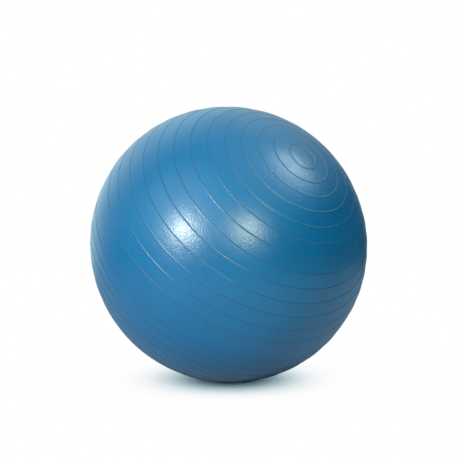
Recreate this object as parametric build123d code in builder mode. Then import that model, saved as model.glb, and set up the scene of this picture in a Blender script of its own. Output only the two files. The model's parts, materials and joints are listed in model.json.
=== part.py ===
from build123d import *

import math
import os

# Exercise ball: a ribbed, blown PVC skin standing on its contact patch, with a bonded valve and its plug.
#
# The pieces are modelled in the ball's mould frame first: the pole-to-pole axis is Z, the ball's centre is the
# origin, and the valve is at the lower pole. The stance then leans the ball over and stands it on the floor,
# the plane z = 0, with the origin of the whole under the ball's centre.

# Skin
BALL_RADIUS = 325.0  # a 65 cm ball
WALL = 0.9
POLE_SHRINK = 0.98  # a blown ball comes out a little short from pole to pole

# Grip ribs: evenly spaced from each pole, with the one on the equator left out
RIBS_PER_HALF = 13
RIB_PITCH = 90.0 / (RIBS_PER_HALF + 1)  # degrees of latitude
RIB_SECTION_RADIUS = 1.6
RIB_HEIGHT = 0.9
RIB_LEAN = 8.1  # degrees at the equator, because one side of the skin stretches more than the other
RIB_LEAN_HEADING = -118.3  # about the pole axis, from the side that faces down when the ball leans

# Round mould mark at each pole
PAD_RADIUS = 26.0
PAD_HEIGHT = 0.35

# Stance
POLE_LEAN = 45.2  # degrees between the pole axis and the vertical
POLE_HEADING = -41.3  # degrees about Z, from +X, of the side it leans to
CONTACT_RADIUS = 50.0  # flat patch that the ball's weight presses out

# Valve body, bonded into the skin at the lower pole
BOSS_RADIUS = 13.0  # fills the hole in the skin
FLANGE_RADIUS = 25.0  # lies against the inside of the wall
FLANGE_THICKNESS = 1.6
TUBE_RADIUS = 7.5
TUBE_LENGTH = 26.0
RECESS_RADIUS = 9.0  # takes the plug's head
RECESS_DEPTH = 2.6
BORE_RADIUS = 4.6
PRY_NOTCH_RADIUS = 3.5  # room for a fingernail under the head's edge

# Plug
SLIDE_GAP = 0.15  # to the valve, all round
HEAD_RADIUS = 8.0
HEAD_THICKNESS = 2.0
HEAD_EDGE = 0.6
DIMPLE_RADIUS = 4.5
DIMPLE_DEPTH = 0.5
BARREL_RADIUS = 3.9
BARREL_LENGTH = 20.0
BARB_RADIUS = BORE_RADIUS - SLIDE_GAP
BARBS = 3
BARB_LENGTH = 2.6
BARB_SPACING = 4.6
FIRST_BARB = 4.0  # below the head
TIP_RADIUS = 2.6
TIP_LENGTH = 2.5

os.makedirs("parts", exist_ok=True)


def oval_ball(inset):
    """A solid ball in the mould frame, smaller than the skin's outside by inset, and as oval."""
    with BuildPart() as ball:
        Sphere(BALL_RADIUS - inset)
        scale(by=(1, 1, POLE_SHRINK))
    return ball.part


def rib_ring(colatitude):
    """(place, radius) of a rib's centre line, before the shrink, that many degrees from the upper pole."""
    angle = math.radians(colatitude)
    centre_line_radius = BALL_RADIUS + RIB_HEIGHT - RIB_SECTION_RADIUS
    radius = centre_line_radius * math.sin(angle)
    height = centre_line_radius * math.cos(angle)
    lean = RIB_LEAN * (1 - abs(math.cos(angle)))
    return Rot(0, 0, RIB_LEAN_HEADING) * Rot(0, lean, 0) * Pos(0, 0, height), radius


def mould_to_floor():
    """The stance: leans the mould frame over, and lifts it until the contact patch lies in the plane z = 0."""
    lean = math.radians(POLE_LEAN)
    round_height = BALL_RADIUS * math.hypot(math.sin(lean), POLE_SHRINK * math.cos(lean))
    height = round_height * math.sqrt(1 - (CONTACT_RADIUS / BALL_RADIUS) ** 2)
    return Pos(0, 0, height) * Rot(0, 0, POLE_HEADING) * Rot(0, POLE_LEAN, 0)


STANCE = mould_to_floor()
MOUTH = -(BALL_RADIUS + PAD_HEIGHT) * POLE_SHRINK  # Z of the valve's outer face in the mould frame
SEAT = MOUTH + RECESS_DEPTH  # Z of the recess floor, where the plug's head stops

# ---------------------------------------------------------------- ball skin
with BuildPart() as pole_pads:
    Sphere(BALL_RADIUS + PAD_HEIGHT)
    Cylinder(PAD_RADIUS, 3 * BALL_RADIUS, mode=Mode.INTERSECT)

with BuildPart() as ribbed_ball:
    Sphere(BALL_RADIUS)
    for rib in range(1, RIBS_PER_HALF + 1):
        for rib_angle in (rib * RIB_PITCH, 180 - rib * RIB_PITCH):
            rib_place, rib_radius = rib_ring(rib_angle)
            with Locations(rib_place):
                Torus(rib_radius, RIB_SECTION_RADIUS)
    add(pole_pads.part)
    scale(by=(1, 1, POLE_SHRINK))
    with Locations((0, 0, MOUTH)):
        Cylinder(BOSS_RADIUS, 2 * TUBE_LENGTH, mode=Mode.SUBTRACT)

# The air inside is flattened over the contact patch, as the skin is
round_air = oval_ball(WALL)
with BuildPart() as air_space:
    add(STANCE * round_air)
    split(bisect_by=Plane.XY.offset(WALL), keep=Keep.TOP)

with BuildPart() as ball_skin:
    add(STANCE * ribbed_ball.part)
    split(bisect_by=Plane.XY, keep=Keep.TOP)
    add(air_space.part, mode=Mode.SUBTRACT)

# ---------------------------------------------------------------- valve body
flange_inside = oval_ball(WALL + FLANGE_THICKNESS)
with BuildPart() as valve_flange:
    add(round_air)
    with Locations((0, 0, MOUTH)):
        Cylinder(FLANGE_RADIUS, 2 * TUBE_LENGTH, mode=Mode.INTERSECT)
    add(flange_inside, mode=Mode.SUBTRACT)

pad_outside = oval_ball(-PAD_HEIGHT)
with BuildPart() as valve_boss:
    add(pad_outside)
    with Locations((0, 0, MOUTH)):
        Cylinder(BOSS_RADIUS, 2 * (PAD_HEIGHT + WALL + FLANGE_THICKNESS), mode=Mode.INTERSECT)

with BuildPart() as valve_blank:
    add(valve_boss.part)
    add(valve_flange.part)
    with Locations((0, 0, SEAT)):
        Cylinder(TUBE_RADIUS, TUBE_LENGTH, align=(Align.CENTER, Align.CENTER, Align.MIN))
    with Locations((0, 0, SEAT)):
        Cylinder(
            RECESS_RADIUS,
            2 * RECESS_DEPTH,
            align=(Align.CENTER, Align.CENTER, Align.MAX),
            mode=Mode.SUBTRACT,
        )
    with Locations((RECESS_RADIUS, 0, SEAT)):
        Cylinder(
            PRY_NOTCH_RADIUS,
            2 * RECESS_DEPTH,
            align=(Align.CENTER, Align.CENTER, Align.MAX),
            mode=Mode.SUBTRACT,
        )
    with Locations((0, 0, SEAT)):
        Cylinder(BORE_RADIUS, 3 * TUBE_LENGTH, mode=Mode.SUBTRACT)

with BuildPart() as valve_body:
    add(STANCE * valve_blank.part)

# ---------------------------------------------------------------- valve plug
# Drawn head up, with Z = 0 under the head
barrel_outline = [(0, 0), (BARREL_RADIUS, 0)]
for barb in range(BARBS):
    shoulder = -FIRST_BARB - barb * BARB_SPACING
    barrel_outline.append((BARREL_RADIUS, shoulder))
    barrel_outline.append((BARB_RADIUS, shoulder))
    barrel_outline.append((BARREL_RADIUS, shoulder - BARB_LENGTH))
barrel_outline.append((BARREL_RADIUS, TIP_LENGTH - BARREL_LENGTH))
barrel_outline.append((TIP_RADIUS, -BARREL_LENGTH))
barrel_outline.append((0, -BARREL_LENGTH))

with BuildPart() as plug_blank:
    with BuildSketch(Plane.XZ):
        with BuildLine():
            Polyline(*barrel_outline, close=True)
        make_face()
    revolve(axis=Axis.Z)
    Cylinder(HEAD_RADIUS, HEAD_THICKNESS, align=(Align.CENTER, Align.CENTER, Align.MIN))
    fillet(plug_blank.edges().group_by(Axis.Z)[-1], HEAD_EDGE)
    with Locations((0, 0, HEAD_THICKNESS)):
        Hole(DIMPLE_RADIUS, DIMPLE_DEPTH)

plug_seat = Plane(origin=(0, 0, SEAT - SLIDE_GAP), z_dir=(0, 0, -1))
with BuildPart() as valve_plug:
    add(STANCE * plug_seat.location * plug_blank.part)

# ---------------------------------------------------------------- files
ball_skin.part.label = "ball_skin"
export_step(ball_skin.part, "parts/ball_skin.step")

valve_body.part.label = "valve_body"
export_step(valve_body.part, "parts/valve_body.step")

valve_plug.part.label = "valve_plug"
export_step(valve_plug.part, "parts/valve_plug.step")

print("pull axis", Axis(STANCE * plug_seat.location).direction)
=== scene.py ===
import json
import math

import bpy
import numpy as np
from mathutils import Matrix, Vector


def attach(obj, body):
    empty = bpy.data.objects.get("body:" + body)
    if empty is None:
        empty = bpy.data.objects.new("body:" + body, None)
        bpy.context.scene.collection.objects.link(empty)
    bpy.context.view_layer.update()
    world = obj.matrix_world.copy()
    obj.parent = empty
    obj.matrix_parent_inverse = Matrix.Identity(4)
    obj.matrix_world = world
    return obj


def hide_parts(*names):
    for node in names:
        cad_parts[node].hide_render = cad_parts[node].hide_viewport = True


# Looks of the exercise ball: a ribbed PVC skin, its bonded valve and the valve's plug, on a white studio floor.
# Lengths are metres. As in the CAD model, the ball is laid out in its mould frame (pole to pole along Z, centre
# at the origin, valve at the lower pole), and the stance then leans it over and stands it on the floor.

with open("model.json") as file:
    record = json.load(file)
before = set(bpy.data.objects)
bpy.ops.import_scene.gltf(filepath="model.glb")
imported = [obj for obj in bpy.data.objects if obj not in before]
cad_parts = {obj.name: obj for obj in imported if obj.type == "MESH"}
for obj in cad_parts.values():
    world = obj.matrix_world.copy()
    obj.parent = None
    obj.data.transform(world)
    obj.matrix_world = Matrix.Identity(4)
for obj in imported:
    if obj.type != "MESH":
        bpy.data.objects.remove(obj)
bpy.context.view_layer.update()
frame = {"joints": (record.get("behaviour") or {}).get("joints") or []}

# ---------------------------------------------------------------- sizes
# They are the CAD model's, but for the ribs, which are 0.3 mm lower here, as the photo shows thin lines, and for
# the slightly smaller notch.
BALL_RADIUS = 0.325
POLE_SHRINK = 0.98
WALL = 0.0009
CONTACT_RADIUS = 0.050

RIBS_PER_HALF = 13
RIB_PITCH = math.radians(90) / (RIBS_PER_HALF + 1)
RIB_LEAN = math.radians(8.1)
RIB_LEAN_HEADING = math.radians(-118.3)
RIB_HEIGHT = 0.0006
RIB_HALF_WIDTH = 0.0018

PAD_RADIUS = 0.026
PAD_HEIGHT = 0.00035
PAD_EDGE = 0.0024

BOSS_RADIUS = 0.013
FLANGE_RADIUS = 0.025
FLANGE_THICKNESS = 0.0016
TUBE_RADIUS = 0.0075
TUBE_LENGTH = 0.026
RECESS_RADIUS = 0.009
RECESS_DEPTH = 0.0026
BORE_RADIUS = 0.0046
PRY_NOTCH = 0.0030
PRY_NOTCH_DEPTH = 0.75 * PRY_NOTCH

SLIDE_GAP = 0.00015
HEAD_RADIUS = 0.008
HEAD_THICKNESS = 0.002
BARREL_RADIUS = 0.0039
BARREL_LENGTH = 0.020
DIMPLE_RADIUS = 0.0040
DIMPLE_RIM_RADIUS = 0.0046
DIMPLE_DEPTH = 0.0005
HEAD_CHAMFER = 0.0002
HEAD_UNDERCUT = 0.0006
BARB_RADIUS = BORE_RADIUS - SLIDE_GAP
BARBS = 3
BARB_LENGTH = 0.0026
BARB_SPACING = 0.0046
FIRST_BARB = 0.004
TIP_RADIUS = 0.0026
TIP_LENGTH = 0.0025

# ---------------------------------------------------------------- the stance, from the plug's pull axis
valve_axis = Vector(frame["joints"][0]["axis"]).normalized()
pole_axis = -valve_axis
lean = math.acos(pole_axis.z)
heading = math.atan2(pole_axis.y, pole_axis.x)
round_height = BALL_RADIUS * math.hypot(math.sin(lean), POLE_SHRINK * math.cos(lean))
centre = Vector((0, 0, round_height * math.sqrt(1 - (CONTACT_RADIUS / BALL_RADIUS) ** 2)))
stance = Matrix.Translation(centre) @ Matrix.Rotation(heading, 4, "Z") @ Matrix.Rotation(lean, 4, "Y")


# ---------------------------------------------------------------- mesh helpers
def new_object(name, points, faces, smooth=True):
    mesh = bpy.data.meshes.new(name)
    mesh.from_pydata([tuple(p) for p in points], [], faces)
    mesh.validate()
    mesh.update()
    if smooth:
        mesh.polygons.foreach_set("use_smooth", [True] * len(mesh.polygons))
    piece = bpy.data.objects.new(name, mesh)
    bpy.context.scene.collection.objects.link(piece)
    return piece


def ring_faces(rows, columns, closed=False):
    """Quads between neighbouring rows of a grid whose rows are rings. closed joins the last row to the first."""
    faces = []
    last = rows if closed else rows - 1
    for row in range(last):
        here, there = row * columns, (row + 1) % rows * columns
        for column in range(columns):
            beside = (column + 1) % columns
            faces.append((here + column, there + column, there + beside, here + beside))
    return faces


def cap_faces(tip, first, columns, flip):
    """Triangles from one tip point to the ring of points that starts at first."""
    faces = [(tip, first + column, first + (column + 1) % columns) for column in range(columns)]
    return [face[::-1] for face in faces] if flip else faces


def smooth_step(x):
    x = np.clip(x, 0, 1)
    return x * x * (3 - 2 * x)


def wavelets(points, length, seed, count=24):
    """A smooth random field over points, about -1 to 1, with features of about length."""
    rng = np.random.default_rng(seed)
    directions = rng.normal(size=(count, 3))
    directions /= np.linalg.norm(directions, axis=1)[:, None]
    waves = 2 * math.pi / length * rng.uniform(0.6, 1.4, count)
    phases = rng.uniform(0, 2 * math.pi, count)
    return np.sin(points @ (directions * waves[:, None]).T + phases).sum(1) / math.sqrt(count)


# ---------------------------------------------------------------- ball skin
SKIN_COLUMNS = 288
RIB_ROWS = 7
PAD_EDGE_ROWS = 5
ROWS_BETWEEN_RIBS = 3
ROW_SPACING = 0.02  # radians, on the plain skin
POLE_ROWS = [0.004, 0.02, 0.04]  # radians from the upper pole
ROWS_TO_HOLE = 3
INSIDE_ROWS = 30
INSIDE_END = 0.01  # radians from the upper pole
RIM = 0.0003  # width of the row beside a rib, pad edge or hole, which keeps its shading off the plain skin
UNEVENNESS = 0.00025  # the skin swells in and out by about this much
UNEVEN_LENGTH = 0.16
UNEVEN_SEED = 3
FLATTEN_BLEND = 0.003


def rib_angles():
    upper = [rib * RIB_PITCH for rib in range(1, RIBS_PER_HALF + 1)]
    return upper + [math.pi - angle for angle in reversed(upper)]


def skin_rows():
    """Angles from the upper pole of the rows of the outside: close together over each rib and pad edge."""
    rib_half = RIB_HALF_WIDTH / BALL_RADIUS
    pad_edge = math.asin(PAD_RADIUS / BALL_RADIUS)
    pad_half = PAD_EDGE / BALL_RADIUS
    hole = math.asin(BOSS_RADIUS / BALL_RADIUS)
    foot = RIM / BALL_RADIUS
    fine = [(pad_edge, pad_half, PAD_EDGE_ROWS)] + [(angle, rib_half, RIB_ROWS) for angle in rib_angles()]
    fine.append((math.pi - pad_edge, pad_half, PAD_EDGE_ROWS))
    rows = list(POLE_ROWS)
    for middle, half, count in fine:
        start, end = middle - half, middle + half
        steps = max(1, min(ROWS_BETWEEN_RIBS, round((start - rows[-1]) / ROW_SPACING)))
        rows += list(np.linspace(rows[-1], start - foot, steps + 1)[1:])
        rows += list(np.linspace(start, end, count)) + [end + foot]
    rim = math.pi - hole
    rows += list(np.linspace(rows[-1], rim - foot, ROWS_TO_HOLE + 1)[1:]) + [rim]
    return np.array(rows)


def rib_relief(angles):
    """Height of the ribs above the round ball, at these angles from the upper pole."""
    relief = np.zeros_like(angles)
    for rib in rib_angles():
        across = np.abs(angles - rib) * BALL_RADIUS / RIB_HALF_WIDTH
        relief += RIB_HEIGHT * smooth_step(1 - across)
    return relief


def pad_relief(angles):
    """Height of the discs at the poles above the round ball, at these angles from the upper pole."""
    from_pole = np.minimum(angles, math.pi - angles)
    edge = math.asin(PAD_RADIUS / BALL_RADIUS)
    inward = (edge - from_pole) * BALL_RADIUS / PAD_EDGE
    return PAD_HEIGHT * smooth_step(inward * 0.5 + 0.5)


def on_ball(angles, columns, radii):
    """Points of rings at these angles from the upper pole, in the mould frame. The rings lean as the ribs do."""
    turn = np.arange(columns) * 2 * math.pi / columns
    rings = []
    for angle, radius in zip(angles, radii):
        leaning = RIB_LEAN * (1 - abs(math.cos(angle)))
        place = Matrix.Rotation(RIB_LEAN_HEADING, 3, "Z") @ Matrix.Rotation(leaning, 3, "Y")
        ring = np.stack(
            [math.sin(angle) * np.cos(turn), math.sin(angle) * np.sin(turn), np.full(columns, math.cos(angle))],
            axis=1,
        )
        rings.append(radius * ring @ np.array(place).T)
    points = np.concatenate(rings)
    points[:, 2] *= POLE_SHRINK
    return points


def to_floor(points, lowest):
    """Leans mould-frame points into the stance, and flattens them where they would reach below lowest."""
    placed = points @ np.array(stance.to_3x3()).T + np.array(centre)
    above = placed[:, 2] - lowest
    blend = np.maximum(FLATTEN_BLEND - np.abs(above), 0) / FLATTEN_BLEND
    placed[:, 2] = lowest + np.maximum(above, 0) + blend**2 * FLATTEN_BLEND / 4
    return placed


def make_skin():
    outside = skin_rows()
    inside = np.linspace(outside[-1], INSIDE_END, INSIDE_ROWS)
    outer = on_ball(outside, SKIN_COLUMNS, BALL_RADIUS + rib_relief(outside) + pad_relief(outside))
    swell = UNEVENNESS * wavelets(outer, UNEVEN_LENGTH, UNEVEN_SEED)
    outer *= (1 + swell / BALL_RADIUS)[:, None]
    half_step = (inside[0] - inside[1]) / 2
    inner_radius = (BALL_RADIUS - WALL) * (1 + half_step**2 / 3)  # so that flat facets keep the wall's mean
    inner = on_ball(inside, SKIN_COLUMNS, np.full(len(inside), inner_radius))
    points = np.concatenate([to_floor(outer, 0.0), to_floor(inner, WALL)])
    rows = len(outside) + len(inside)
    faces = ring_faces(rows, SKIN_COLUMNS)
    points = list(points)
    for row, radius in ((0, BALL_RADIUS + PAD_HEIGHT), (rows - 1, inner_radius)):
        points.append(stance @ Vector((0, 0, radius * POLE_SHRINK)))
        faces += cap_faces(len(points) - 1, row * SKIN_COLUMNS, SKIN_COLUMNS, flip=row > 0)
    skin = new_object("ribbed_skin", points, faces)
    # The rib attribute marks the ribs by their height; the skin's material uses it to paint shade along them and
    # to make them duller.
    ribs = np.zeros(len(points))
    ribs[: len(outer)] = np.repeat(rib_relief(outside) / RIB_HEIGHT, SKIN_COLUMNS)
    skin.data.attributes.new("rib", "FLOAT", "POINT").data.foreach_set("value", ribs)
    return skin


# ---------------------------------------------------------------- valve
LATHE_COLUMNS = 96
MOUTH = -(BALL_RADIUS + PAD_HEIGHT) * POLE_SHRINK
SEAT = MOUTH + RECESS_DEPTH
EDGE = 0.0003


def rounded(outline, radius, steps=4):
    """An outline of (r, z) points with its corners rounded by radius, or by less where a side is short."""
    result = []
    count = len(outline)
    for i in range(count):
        before, corner, after = (Vector(outline[k % count]) for k in (i - 1, i, i + 1))
        to_before, to_after = before - corner, after - corner
        if corner.x < 1e-6 or to_before.length < 1e-7 or to_after.length < 1e-7:
            result.append(corner)
            continue
        cut = min(radius, 0.45 * to_before.length, 0.45 * to_after.length)
        start, end = corner + to_before.normalized() * cut, corner + to_after.normalized() * cut
        for step in range(steps + 1):
            t = step / steps
            result.append((1 - t) ** 2 * start + 2 * t * (1 - t) * corner + t * t * end)
    return result


def lathe(name, outline, closed=True, reshape=None):
    """A solid turned about the mould frame's Z. Its outline is a closed loop, or else starts and ends on the axis
    and runs downwards."""
    turn = np.arange(LATHE_COLUMNS) * 2 * math.pi / LATHE_COLUMNS
    rings = outline if closed else outline[1:-1]
    points = []
    for r, z in rings:
        for angle in turn:
            radius = reshape(r, z, angle) if reshape else r
            points.append(stance @ Vector((radius * math.cos(angle), radius * math.sin(angle), z)))
    faces = ring_faces(len(rings), LATHE_COLUMNS, closed)
    if not closed:
        points += [stance @ Vector((0, 0, outline[0][1])), stance @ Vector((0, 0, outline[-1][1]))]
        faces += cap_faces(len(points) - 2, 0, LATHE_COLUMNS, flip=False)
        faces += cap_faces(len(points) - 1, (len(rings) - 1) * LATHE_COLUMNS, LATHE_COLUMNS, flip=True)
    return new_object(name, points, faces)


def ball_depth(r, inset):
    """Z of the lower side of the ball, drawn in by inset, at distance r from the pole axis."""
    radius = BALL_RADIUS - inset
    return -math.sqrt(radius * radius - r * r) * POLE_SHRINK


def make_valve_body():
    face = [(r, ball_depth(r, -PAD_HEIGHT)) for r in np.linspace(RECESS_RADIUS, BOSS_RADIUS, 4)]
    flange_out = [(r, ball_depth(r, WALL)) for r in np.linspace(BOSS_RADIUS, FLANGE_RADIUS, 6)]
    flange_in = [
        (r, ball_depth(r, WALL + FLANGE_THICKNESS)) for r in np.linspace(FLANGE_RADIUS, TUBE_RADIUS, 7)
    ]
    outline = [(BORE_RADIUS, SEAT), (RECESS_RADIUS, SEAT)] + face + flange_out + flange_in
    outline += [(TUBE_RADIUS, SEAT + TUBE_LENGTH), (BORE_RADIUS, SEAT + TUBE_LENGTH)]

    def notch(r, z, angle):
        """Opens the recess's wall beside one side of the head, for a fingernail."""
        near = abs(angle if angle < math.pi else angle - 2 * math.pi) * RECESS_RADIUS / PRY_NOTCH
        if near > 1 or abs(r - RECESS_RADIUS) > 4 * EDGE or z > SEAT + EDGE:
            return r
        return r + PRY_NOTCH_DEPTH * math.sqrt(1 - near * near)

    return lathe("valve_grommet", rounded(outline, EDGE)[::-1], reshape=notch)


def make_valve_plug():
    base = SEAT - SLIDE_GAP  # Z under the head; the head is towards -Z and the barrel towards +Z
    top = base - HEAD_THICKNESS
    outline = [(0, top + DIMPLE_DEPTH), (DIMPLE_RADIUS, top + DIMPLE_DEPTH)]
    outline += [(DIMPLE_RIM_RADIUS, top), (HEAD_RADIUS - HEAD_CHAMFER, top)]
    outline += [(HEAD_RADIUS, base - HEAD_UNDERCUT), (HEAD_RADIUS - HEAD_CHAMFER, base), (BARREL_RADIUS, base)]
    for barb in range(BARBS):
        shoulder = base + FIRST_BARB + barb * BARB_SPACING
        outline += [(BARREL_RADIUS, shoulder), (BARB_RADIUS, shoulder)]
        outline += [(BARREL_RADIUS, shoulder + BARB_LENGTH)]
    outline += [(BARREL_RADIUS, base + BARREL_LENGTH - TIP_LENGTH), (TIP_RADIUS, base + BARREL_LENGTH)]
    outline += [(0, base + BARREL_LENGTH)]
    return lathe("valve_stopper", rounded(outline, EDGE)[::-1], closed=False)


# ---------------------------------------------------------------- materials
def material(name):
    """A new material and its Principled shader."""
    made = bpy.data.materials.new(name)
    made.use_nodes = True
    nodes = made.node_tree.nodes
    nodes.clear()
    output = nodes.new("ShaderNodeOutputMaterial")
    shader = nodes.new("ShaderNodeBsdfPrincipled")
    made.node_tree.links.new(shader.outputs["BSDF"], output.inputs["Surface"])
    return made, shader


def noise(made, scale, detail=2.0, roughness=0.5, distortion=0.0):
    """A noise texture on the object's own coordinates. scale is in features per metre."""
    nodes, links = made.node_tree.nodes, made.node_tree.links
    place = nodes.new("ShaderNodeTexCoord")
    texture = nodes.new("ShaderNodeTexNoise")
    texture.inputs["Scale"].default_value = scale
    texture.inputs["Detail"].default_value = detail
    texture.inputs["Roughness"].default_value = roughness
    texture.inputs["Distortion"].default_value = distortion
    links.new(place.outputs["Object"], texture.inputs["Vector"])
    return texture.outputs["Fac"]


def spread(made, value, low, high, from_low=0.3, from_high=0.7):
    """value, mostly from_low to from_high, mapped to low to high."""
    node = made.node_tree.nodes.new("ShaderNodeMapRange")
    node.inputs["From Min"].default_value = from_low
    node.inputs["From Max"].default_value = from_high
    node.inputs["To Min"].default_value = low
    node.inputs["To Max"].default_value = high
    made.node_tree.links.new(value, node.inputs["Value"])
    return node.outputs["Result"]


def blend_colours(made, value, first, second):
    """A colour from first to second as value goes from 0 to 1. Each is a colour or a socket."""
    node = made.node_tree.nodes.new("ShaderNodeMix")
    node.data_type = "RGBA"
    for socket, colour in (("A", first), ("B", second)):
        if isinstance(colour, tuple):
            node.inputs[socket].default_value = (*colour, 1)
        else:
            made.node_tree.links.new(colour, node.inputs[socket])
    made.node_tree.links.new(value, node.inputs["Factor"])
    return node.outputs["Result"]


def math_node(tree, operation, first, second=0.0):
    """The result of a math node on two values, each a number or a socket."""
    node = tree.nodes.new("ShaderNodeMath")
    node.operation = operation
    for socket, value in zip(node.inputs, (first, second)):
        if isinstance(value, (int, float)):
            socket.default_value = value
        else:
            tree.links.new(value, socket)
    return node.outputs[0]


def add_bump(made, shader, heights):
    """Chains bumps of (height, strength, distance) onto the shader's normal."""
    links = made.node_tree.links
    previous = None
    for height, strength, distance in heights:
        bump = made.node_tree.nodes.new("ShaderNodeBump")
        bump.inputs["Strength"].default_value = strength
        bump.inputs["Distance"].default_value = distance
        links.new(height, bump.inputs["Height"])
        if previous:
            links.new(previous, bump.inputs["Normal"])
        previous = bump.outputs["Normal"]
    links.new(previous, shader.inputs["Normal"])


def skin_pvc():
    """Blue blown PVC: a satin skin with fine orange peel, faint mottling and dull scuffs, with duller ribs that
    carry painted shade, a deeper blue that stands in for the thin lines of shade along them.
    """
    made, shader = material("skin_pvc")
    nodes, links = made.node_tree.nodes, made.node_tree.links
    mottling = spread(made, noise(made, 9, detail=4), 0, 1)
    colour = blend_colours(made, mottling, (0.0009, 0.0924, 0.2533), (0.0014, 0.1041, 0.2785))
    ribs = nodes.new("ShaderNodeAttribute")
    ribs.attribute_name = "rib"
    # Painted shade: the ribs are coloured a deeper blue to stand in for the thin dark lines of shade along them,
    # and they are also made duller.
    rib_shade_and_dullness = spread(made, ribs.outputs["Fac"], 0, 1, 0.1, 0.8)
    colour = blend_colours(made, rib_shade_and_dullness, colour, (0.0006, 0.060, 0.163))
    links.new(colour, shader.inputs["Base Color"])
    scuffs = spread(made, noise(made, 38, detail=6, roughness=0.65, distortion=0.6), 0.28, 0.35)
    duller_ribs = math_node(made.node_tree, "MULTIPLY", rib_shade_and_dullness, 0.15)
    links.new(math_node(made.node_tree, "ADD", scuffs, duller_ribs), shader.inputs["Roughness"])
    shader.inputs["Specular IOR Level"].default_value = 0.62
    peel = noise(made, 280, detail=2, roughness=0.5)
    grain = noise(made, 1100, detail=1)
    add_bump(made, shader, [(peel, 0.8, 0.0006), (grain, 0.3, 0.0002)])
    return made


def valve_pvc():
    """The valve body's thicker blue PVC, a little darker and duller than the skin."""
    made, shader = material("valve_pvc")
    links = made.node_tree.links
    mottling = spread(made, noise(made, 60, detail=3), 0, 1)
    colour = blend_colours(made, mottling, (0.0030, 0.088, 0.225), (0.0040, 0.100, 0.250))
    links.new(colour, shader.inputs["Base Color"])
    links.new(spread(made, noise(made, 300, detail=4), 0.32, 0.44), shader.inputs["Roughness"])
    add_bump(made, shader, [(noise(made, 1200, detail=2), 0.2, 0.00008)])
    return made


def plug_plastic():
    """The stopper's white polyethylene: waxy, a little translucent, with a faint moulded grain."""
    made, shader = material("plug_plastic")
    links = made.node_tree.links
    tint = spread(made, noise(made, 180, detail=3), 0, 1)
    colour = blend_colours(made, tint, (0.76, 0.76, 0.73), (0.84, 0.84, 0.82))
    links.new(colour, shader.inputs["Base Color"])
    links.new(spread(made, noise(made, 500, detail=4), 0.34, 0.5), shader.inputs["Roughness"])
    shader.inputs["Subsurface Weight"].default_value = 0.2
    shader.inputs["Subsurface Radius"].default_value = (0.002, 0.002, 0.0018)
    shader.inputs["Subsurface Scale"].default_value = 1.0
    add_bump(made, shader, [(noise(made, 2200, detail=2), 0.15, 0.00005)])
    return made


# ---------------------------------------------------------------- studio
CAMERA_ELEVATION = math.radians(8)
CAMERA_DISTANCE = 5.96
LENS = 199.3
AIM_RIGHT, AIM_UP = 0.0030, 0.0341
SENSOR_WIDTH = 36
LAMP_DISTANCE = 3.0

camera_right = Vector((1, 0, 0))
camera_up = Vector((0, math.sin(CAMERA_ELEVATION), math.cos(CAMERA_ELEVATION)))
to_camera = Vector((0, -math.cos(CAMERA_ELEVATION), math.sin(CAMERA_ELEVATION)))


def seen(right, up, near):
    """A direction in the world from its parts to the camera's right, up and towards the camera."""
    return (right * camera_right + up * camera_up + near * to_camera).normalized()


def make_camera():
    data = bpy.data.cameras.new("camera")
    data.lens = LENS
    data.sensor_width = SENSOR_WIDTH
    data.clip_end = 100
    camera = bpy.data.objects.new("camera", data)
    aim = centre + AIM_RIGHT * camera_right + AIM_UP * camera_up
    camera.location = aim + CAMERA_DISTANCE * to_camera
    camera.rotation_euler = (-to_camera).to_track_quat("-Z", "Y").to_euler()
    bpy.context.scene.collection.objects.link(camera)
    bpy.context.scene.camera = camera


def area_light(name, direction, size, power, colour):
    """A round lamp that looks at the ball's centre from this direction."""
    data = bpy.data.lights.new(name, "AREA")
    data.shape = "DISK"
    data.size = size
    data.energy = power
    data.color = colour
    light = bpy.data.objects.new(name, data)
    light.location = centre + LAMP_DISTANCE * direction
    light.rotation_euler = (-direction).to_track_quat("-Z", "Y").to_euler()
    bpy.context.scene.collection.objects.link(light)


def make_lights():
    area_light("key", seen(-0.556, 0.199, 0.808), 0.44, 80.0, (0.97, 1.0, 0.82))
    area_light("fill", seen(0.256, 0.234, 0.938), 0.62, 41.9, (0.98, 1.0, 0.62))
    area_light("top", seen(0.645, 0.764, 0.035), 1.14, 28.2, (0.85, 1.0, 0.95))


# Soft panels round the studio: the direction of each panel's middle as the camera sees it, and its strength.
# The last two are low behind the ball, where the white floor runs out of sight.
PANELS = [
    ((0.06, 0.98, 0.16), 0.49),
    ((-0.10, 0.86, -0.50), 0.43),
    ((0.45, 0.83, 0.33), 0.73),
    ((0.42, 0.77, -0.48), 0.56),
    ((-0.49, 0.70, -0.51), 0.61),
    ((-0.60, 0.64, 0.48), 1.31),
    ((0.12, 0.61, -0.78), 0.25),
    ((-0.28, 0.48, 0.83), 0.94),
    ((-0.36, 0.45, -0.82), 0.42),
    ((-0.87, 0.39, 0.29), 0.24),
    ((-0.79, 0.30, -0.53), 0.41),
    ((-0.61, 0.23, 0.76), 0.40),
    ((-0.06, 0.20, -0.98), 0.56),
    ((-0.99, 0.14, -0.03), 0.16),
    ((0.75, 0.11, -0.65), 0.04),
    ((-0.86, -0.02, 0.51), 0.17),
    ((-0.50, -0.06, -0.86), 0.60),
    ((-0.42, -0.36, -0.83), 0.60),
]
PANEL_TINT = (0.84, 1.12, 1.08)
PANEL_EDGE = math.cos(math.radians(32))
PANEL_CORE = math.cos(math.radians(10))


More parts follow.
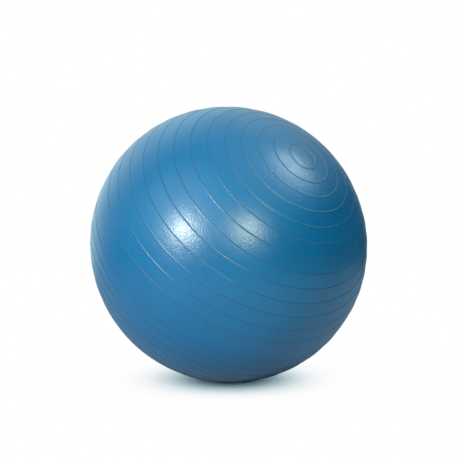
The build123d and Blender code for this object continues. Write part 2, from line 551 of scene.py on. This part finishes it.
def make_world():
    """Plain white to the camera, and soft panels all round to the object."""
    world = bpy.data.worlds.new("studio")
    world.use_nodes = True
    tree = world.node_tree
    nodes, links = tree.nodes, tree.links
    nodes.clear()
    place = nodes.new("ShaderNodeTexCoord")
    glow = 0.0
    for direction, strength in PANELS:
        along = nodes.new("ShaderNodeVectorMath")
        along.operation = "DOT_PRODUCT"
        along.inputs[1].default_value = seen(*direction)
        links.new(place.outputs["Generated"], along.inputs[0])
        panel = nodes.new("ShaderNodeMapRange")
        panel.interpolation_type = "SMOOTHSTEP"
        panel.inputs["From Min"].default_value = PANEL_EDGE
        panel.inputs["From Max"].default_value = PANEL_CORE
        panel.inputs["To Max"].default_value = strength
        links.new(along.outputs["Value"], panel.inputs["Value"])
        glow = math_node(tree, "ADD", panel.outputs["Result"], glow)
    output = nodes.new("ShaderNodeOutputWorld")
    mix = nodes.new("ShaderNodeMixShader")
    rays = nodes.new("ShaderNodeLightPath")
    soft, white = nodes.new("ShaderNodeBackground"), nodes.new("ShaderNodeBackground")
    soft.inputs["Color"].default_value = (*PANEL_TINT, 1)
    links.new(glow, soft.inputs["Strength"])
    white.inputs["Color"].default_value = (1, 1, 1, 1)
    white.inputs["Strength"].default_value = 1.0
    links.new(rays.outputs["Is Camera Ray"], mix.inputs["Fac"])
    links.new(soft.outputs["Background"], mix.inputs[1])
    links.new(white.outputs["Background"], mix.inputs[2])
    links.new(mix.outputs["Shader"], output.inputs["Surface"])
    bpy.context.scene.world = world


FLOOR_HALF = 6.0
FLOOR_TOP = -0.0003  # just under the ball's flat foot
FLOOR_BOUNCE = 0.50
FLOOR_TINT = (0.75, 0.85, 1.0)
SHADOW_REACH = 2.0  # how far off the ball still keeps light from the floor
SHADOW_DEPTH = 0.2  # the open part of the dome at which the floor is about two thirds white
SHADOW_FALLOFF = 1.5
SHADOW_TINT = (0.50, 0.90, 1.04)
SHADOW_TINT_END = 0.4  # the open part of the dome at which the shadow's tint ends
FLOOR_FADE_START = 0.8
FLOOR_FADE_END = 2.2


def make_floor():
    """A seamless white floor. It is burnt out to the camera but for the shadow of a dome of light, which the ball
    keeps off it round its foot, and it fades into the white background with distance. To the ball it is a plain
    diffuse floor, pale and slightly cool."""
    corners = [(x * FLOOR_HALF, y * FLOOR_HALF, FLOOR_TOP) for x, y in ((-1, -1), (1, -1), (1, 1), (-1, 1))]
    floor = new_object("floor", corners, [(0, 1, 2, 3)], smooth=False)
    made = bpy.data.materials.new("floor_white")
    made.use_nodes = True
    tree = made.node_tree
    nodes, links = tree.nodes, tree.links
    nodes.clear()
    dome = nodes.new("ShaderNodeAmbientOcclusion")
    dome.samples = 16
    dome.inputs["Distance"].default_value = SHADOW_REACH
    open_sky = spread(made, dome.outputs["AO"], 0, 1, 0.0, SHADOW_TINT_END)
    tint = blend_colours(made, open_sky, SHADOW_TINT, (1.0, 1.0, 1.0))
    burnt = nodes.new("ShaderNodeEmission")
    links.new(tint, burnt.inputs["Color"])
    # 1 - exp(-(AO / depth) ** falloff): dark at the foot, and softly up to white
    depth = math_node(tree, "POWER", math_node(tree, "DIVIDE", dome.outputs["AO"], SHADOW_DEPTH), SHADOW_FALLOFF)
    lost = math_node(tree, "EXPONENT", math_node(tree, "MULTIPLY", depth, -1.0))
    links.new(math_node(tree, "SUBTRACT", 1.0, lost), burnt.inputs["Strength"])
    paper = nodes.new("ShaderNodeBsdfDiffuse")
    bright = tuple(FLOOR_BOUNCE * channel for channel in FLOOR_TINT)
    tone = blend_colours(made, noise(made, 3), tuple(0.98 * channel for channel in bright), bright)
    links.new(tone, paper.inputs["Color"])
    seen_floor = nodes.new("ShaderNodeMixShader")
    rays = nodes.new("ShaderNodeLightPath")
    links.new(rays.outputs["Is Camera Ray"], seen_floor.inputs["Fac"])
    links.new(paper.outputs["BSDF"], seen_floor.inputs[1])
    links.new(burnt.outputs["Emission"], seen_floor.inputs[2])
    place = nodes.new("ShaderNodeTexCoord")
    away = nodes.new("ShaderNodeVectorMath")
    away.operation = "LENGTH"
    links.new(place.outputs["Object"], away.inputs[0])
    fade = nodes.new("ShaderNodeMapRange")
    fade.interpolation_type = "SMOOTHSTEP"
    fade.inputs["From Min"].default_value = FLOOR_FADE_START
    fade.inputs["From Max"].default_value = FLOOR_FADE_END
    links.new(away.outputs["Value"], fade.inputs["Value"])
    mix = nodes.new("ShaderNodeMixShader")
    links.new(fade.outputs["Result"], mix.inputs["Fac"])
    links.new(seen_floor.outputs["Shader"], mix.inputs[1])
    links.new(nodes.new("ShaderNodeBsdfTransparent").outputs["BSDF"], mix.inputs[2])
    output = nodes.new("ShaderNodeOutputMaterial")
    links.new(mix.outputs["Shader"], output.inputs["Surface"])
    floor.data.materials.append(made)


# ---------------------------------------------------------------- putting it together
def finish_piece(piece, made, body, node):
    """Gives a piece its material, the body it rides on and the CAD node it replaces."""
    piece.data.materials.append(made)
    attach(piece, body)
    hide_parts(node)


finish_piece(make_skin(), skin_pvc(), "ball", "ball_skin")
finish_piece(make_valve_body(), valve_pvc(), "ball", "valve_body")
finish_piece(make_valve_plug(), plug_plastic(), "plug", "valve_plug")
make_floor()
make_lights()
make_world()
make_camera()
bpy.context.scene.view_settings.view_transform = "Standard"
